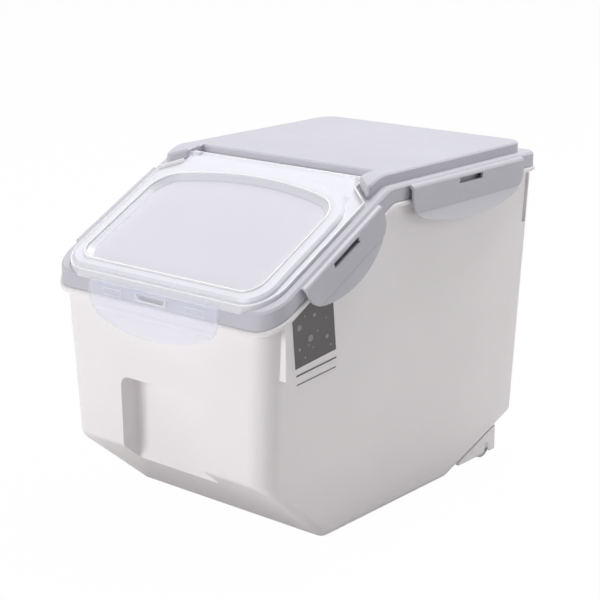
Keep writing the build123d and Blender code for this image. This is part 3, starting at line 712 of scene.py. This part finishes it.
# runs a tree on an object, keeps the mesh that comes out and drops the modifier
def bakeTree(item, tree, settings):
    modifier = item.modifiers.new("form", "NODES")
    modifier.node_group = tree
    sockets = {s.name: s.identifier for s in tree.interface.items_tree if s.in_out == "INPUT"}
    for label, value in settings.items():
        modifier[sockets[label]] = value
    item.update_tag()
    graph = bpy.context.evaluated_depsgraph_get()
    result = bpy.data.meshes.new_from_object(item.evaluated_get(graph))
    item.modifiers.remove(modifier)
    item.data = result
    turnOutward(result)
    result.shade_smooth()
    result.set_sharp_from_angle(angle=creaseAngle)


def bakeSweep(item, tree, spec, up, finish):
    bakeTree(item, tree, {
        "Width": spec["width"], "Height": spec["height"], "Round": spec["round"], "Up": up,
        "Material": finishes[finish],
    })


sweepTree = buildSweepTree("roundedSweep", False)
sealTree = buildSweepTree("lippedSweep", True)
discTree = buildStampTree("stampedDiscs", "disc")
barTree = buildStampTree("stampedBars", "bar")
levelUp = (0, 0, 1)
frontUp = (0, -1, 0)
slopeUp = (0, -math.sin(rim["slope"]), math.cos(rim["slope"]))
print("node trees built")

# main seal: a lipped band in the lid's channel, above the rim
mainSealSpec = {
    "inset": 5.6 * mm, "lift": 5.8 * mm, "width": 3.0 * mm, "height": 3.4 * mm, "round": 0.5 * mm,
}


def rimPath(inset, lift):
    side, front, rear = rim["halfWidth"] - inset, rim["front"] + inset, rim["rear"] - inset
    frontRadius, rearRadius = rim["frontRadius"] - inset, rim["rearRadius"] - inset
    plan = filletedPath([
        (-side, front, frontRadius), (side, front, frontRadius),
        (side, rear, rearRadius), (-side, rear, rearRadius),
    ])
    return [(x, y, rimHeight(y, lift)) for x, y in subdivided(plan)]


mainSeal = pathObject("mainSeal", rimPath(mainSealSpec["inset"], mainSealSpec["lift"]))
bakeSweep(mainSeal, sealTree, mainSealSpec, levelUp, "whiteSeal")
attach(mainSeal, "lid")
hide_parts("main_lid_seal")
print("main seal swept")

# flip lid's seal, under the land of the clear lid
flipSealSpec = {
    "halfWidth": 95.0 * mm, "front": -136.4 * mm, "rear": -8.5 * mm, "frontRadius": 16 * mm,
    "rearRadius": 33 * mm, "crown": 286 * mm, "lift": 17.65 * mm, "width": 3.8 * mm, "height": 3.9 * mm,
    "round": 0.5 * mm,
}
flipSealPath = [onSlope(x, y, flipSealSpec["lift"]) for x, y in crownedPath(flipSealSpec)]
flipSeal = pathObject("flipSeal", flipSealPath)
bakeSweep(flipSeal, sweepTree, flipSealSpec, slopeUp, "whiteSeal")
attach(flipSeal, "flip_lid")
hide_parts("flip_lid_seal")
print("flip lid's seal swept")

# bead along the inner edge of the land, painted near-white as its highlight
landBeadSpec = {
    "halfWidth": 89.8 * mm, "front": -133.7 * mm, "rear": -15.2 * mm, "frontRadius": 14.8 * mm,
    "rearRadius": 25.8 * mm, "crown": 280.8 * mm, "lift": 22.2 * mm, "width": 1.3 * mm, "height": 0.9 * mm,
    "round": 0.42 * mm,
}
landBeadPath = [onSlope(x, y, landBeadSpec["lift"]) for x, y in crownedPath(landBeadSpec)]
landBead = pathObject("landBead", landBeadPath)
bakeSweep(landBead, sweepTree, landBeadSpec, slopeUp, "beadHighlightWhite")
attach(landBead, "flip_lid")
print("land bead swept")

# rim line along the outer edge of the flip lid, painted near-white as its highlight
edgeLineSpec = {
    "inset": 0.5 * mm, "lift": 17.85 * mm, "width": 0.9 * mm, "height": 0.7 * mm, "round": 0.3 * mm,
}
# the flip lid's outline: its places along the bin count from the rim's front
flipPlan = {
    "halfWidth": 105 * mm, "neck": 86 * mm, "front": 1.7 * mm, "corner": 112.3 * mm, "junction": 125.8 * mm,
    "rear": 143.4 * mm, "radius": 25 * mm,
}


def flipEdgePath(inset, lift):
    half, neck = flipPlan["halfWidth"] - inset, flipPlan["neck"] - inset
    front, corner, junction, rear = (
        rim["front"] + flipPlan[place] for place in ("front", "corner", "junction", "rear")
    )
    front, rear, radius = front + inset, rear - inset, flipPlan["radius"] - inset
    plan = filletedPath([
        (-half, front, radius), (half, front, radius), (half, corner, 0), (neck, junction, 0),
        (neck, rear, 0), (-neck, rear, 0), (-neck, junction, 0), (-half, corner, 0),
    ])
    return [(x, y, rimHeight(y, lift)) for x, y in subdivided(plan)]


edgeLine = pathObject("edgeLine", flipEdgePath(edgeLineSpec["inset"], edgeLineSpec["lift"]))
bakeSweep(edgeLine, sweepTree, edgeLineSpec, slopeUp, "beadHighlightWhite")
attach(edgeLine, "flip_lid")
print("edge line swept")

# two core marks inside the front latch, seen faintly through it
coreMarkSpec = {
    "centres": (-42 * mm, 42 * mm), "top": 187.2 * mm, "low": 182.2 * mm, "halfLength": 9 * mm,
    "face": -166.45 * mm, "width": 0.5 * mm, "height": 0.4 * mm, "round": 0.15 * mm,
}
for index, centre in enumerate(coreMarkSpec["centres"]):
    left, right = centre - coreMarkSpec["halfLength"], centre + coreMarkSpec["halfLength"]
    face, top, low = (coreMarkSpec[key] for key in ("face", "top", "low"))
    mark = pathObject(f"coreMark{index}", [
        (left, face, top), (right, face, top), (right, face, low), (left, face, low),
    ])
    bakeSweep(mark, sweepTree, coreMarkSpec, frontUp, "beadHighlightWhite")
    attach(mark, "front_latch")
print("core marks set")


# a closed flat form between two rings of points
def slabObject(name, under, over, finish, body):
    count = len(under)
    faces = [tuple(range(count)), tuple(range(2 * count - 1, count - 1, -1))]
    faces += [(i, (i + 1) % count, (i + 1) % count + count, i + count) for i in range(count)]
    mesh = bpy.data.meshes.new(name)
    mesh.from_pydata(under + over, [], faces)
    turnOutward(mesh)
    mesh.materials.append(finishes[finish])
    item = bpy.data.objects.new(name, mesh)
    bpy.context.scene.collection.objects.link(item)
    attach(item, body)


# the front latch's slot: slanted ends and a raised edge round three sides, painted near-white as its
# highlight
slotSpec = {
    "halfTop": 15.6 * mm, "halfLow": 13.0 * mm, "top": 188.5 * mm, "low": 184.1 * mm, "face": -168.6 * mm,
    "back": -166.65 * mm, "width": 0.8 * mm, "height": 0.5 * mm, "round": 0.15 * mm,
}
wide, narrow, face, back = (slotSpec[key] for key in ("halfTop", "halfLow", "face", "back"))
top, low = slotSpec["top"], slotSpec["low"]
for index, side in enumerate((-1, 1)):
    outline = [(side * wide, top), (side * narrow, low), (side * wide, low)]
    under, over = ([(x, y, z) for x, z in outline] for y in (face, back))
    slabObject(f"slotEnd{index}", under, over, "milkyLatch", "front_latch")
slotPath = [(-wide, face, top), (-narrow, face, low), (narrow, face, low), (wide, face, top)]
slotEdge = pathObject("slotEdge", slotPath, False)
bakeSweep(slotEdge, sweepTree, slotSpec, frontUp, "beadHighlightWhite")
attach(slotEdge, "front_latch")
print("slot edged")

# low clear walls along the flip lid's slanting rear corners
cornerWallSpec = {
    "ends": ((102.7 * mm, -52.9 * mm), (86.9 * mm, -41.8 * mm)), "lift": 18.9 * mm, "width": 0.8 * mm,
    "height": 3.0 * mm, "round": 0.2 * mm,
}
for index, side in enumerate((-1, 1)):
    wallPath = [(side * x, y, rimHeight(y, cornerWallSpec["lift"])) for x, y in cornerWallSpec["ends"]]
    cornerWall = pathObject(f"cornerWall{index}", wallPath, False)
    bakeSweep(cornerWall, sweepTree, cornerWallSpec, slopeUp, "beadHighlightWhite")
    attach(cornerWall, "flip_lid")
print("corner walls raised")

# small clear ears on the flip lid's neck, beside the hinge
earSpec = {
    "inner": 83.6 * mm, "outer": 85.4 * mm, "foot": (-41.0 * mm, -32.0 * mm), "peak": -35.0 * mm,
    "sunk": 17.3 * mm, "top": 21.8 * mm,
}
for index, side in enumerate((-1, 1)):
    outline = [(y, rimHeight(y, earSpec["sunk"])) for y in earSpec["foot"]]
    outline.append((earSpec["peak"], rimHeight(earSpec["peak"], earSpec["top"])))
    under, over = ([(side * earSpec[face], y, z) for y, z in outline] for face in ("inner", "outer"))
    slabObject(f"hingeEar{index}", under, over, "milkyLatch", "flip_lid")
print("hinge ears set")


# label: a plain dark film on the leaning right wall, with a few pale drops and two thin rules
def onWall(y, z, lift):
    slant = math.hypot(1, wall["lean"])
    return (wall["footX"] + wall["lean"] * z + lift / slant, y, z - lift * wall["lean"] / slant)


wallFacing = (1, 0, -wall["lean"])
# places are (y, z) in millimetres: drops with a radius, rules with both ends and a height
labelSpec = {
    "corners": ((-135.7, 182.7), (-93.9, 205.6), (-85.1, 150.9), (-130.1, 146.2)),
    "below": 0.02, "above": 0.14, "ruleAbove": 0.08, "dropHeight": 0.06,
    "drops": (
        (-127.7, 176.7, 2.3), (-111.7, 182.9, 1.5), (-107.3, 170.1, 0.8), (-114.7, 166.2, 2.6),
        (-116.7, 161.4, 0.8), (-111.4, 158.7, 0.7), (-122.4, 184.1, 0.7), (-102.6, 189.4, 1.1),
        (-98.2, 177.9, 0.7), (-126.3, 160.2, 1.2), (-96.4, 163.5, 1.7), (-119.8, 152.9, 0.8),
        (-91.6, 156.3, 0.9),
    ),
    "rules": ((-128.7, 141.4, -84.3, 145.2, 1.3), (-127.8, 134.2, -84.2, 137.6, 0.9)),
}


# a thin flat film on the wall, through corners given as (y, z) in millimetres
def filmPatch(name, corners, above):
    lifts = (-labelSpec["below"], above)
    under, over = ([onWall(y * mm, z * mm, lift * mm) for y, z in corners] for lift in lifts)
    slabObject(name, under, over, "labelFilm", "bin")


filmPatch("labelFilm", labelSpec["corners"], labelSpec["above"])
for index, (startY, startZ, endY, endZ, tall) in enumerate(labelSpec["rules"]):
    corners = ((startY, startZ), (endY, endZ), (endY, endZ - tall), (startY, startZ - tall))
    filmPatch(f"labelRule{index}", corners, labelSpec["ruleAbove"])
dropPoints = [onWall(y * mm, z * mm, labelSpec["above"] * mm) for y, z, radius in labelSpec["drops"]]
drops = pointObject("labelDrops", dropPoints, [radius for y, z, radius in labelSpec["drops"]])
bakeTree(drops, discTree, {
    "Width": 1 * mm, "Length": 1 * mm, "Height": labelSpec["dropHeight"] * mm, "Facing": wallFacing,
    "Material": finishes["dropInk"],
})
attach(drops, "bin")
print("label laid on")

# level marks: faint raised dashes near the rear of the right wall, with a dot between each two
levelSpec = {
    "length": 9.0 * mm, "rise": 0.16 * mm, "lift": 0.03 * mm,
    "levelDashes": {"y": 107.0 * mm, "heights": (167.0, 132.9, 98.8, 64.7), "width": 0.55 * mm},
    "levelDots": {"y": 105.9 * mm, "heights": (184.1, 149.9, 115.9, 81.8), "width": 0.5 * mm},
}
for name, tree in (("levelDashes", barTree), ("levelDots", discTree)):
    spec = levelSpec[name]
    places = [onWall(spec["y"], z * mm, levelSpec["lift"]) for z in spec["heights"]]
    marks = pointObject(name, places, [1] * len(places))
    bakeTree(marks, tree, {
        "Width": spec["width"], "Length": levelSpec["length"], "Height": levelSpec["rise"],
        "Facing": wallFacing, "Material": finishes["whiteBin"],
    })
    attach(marks, "bin")
print("level marks set")
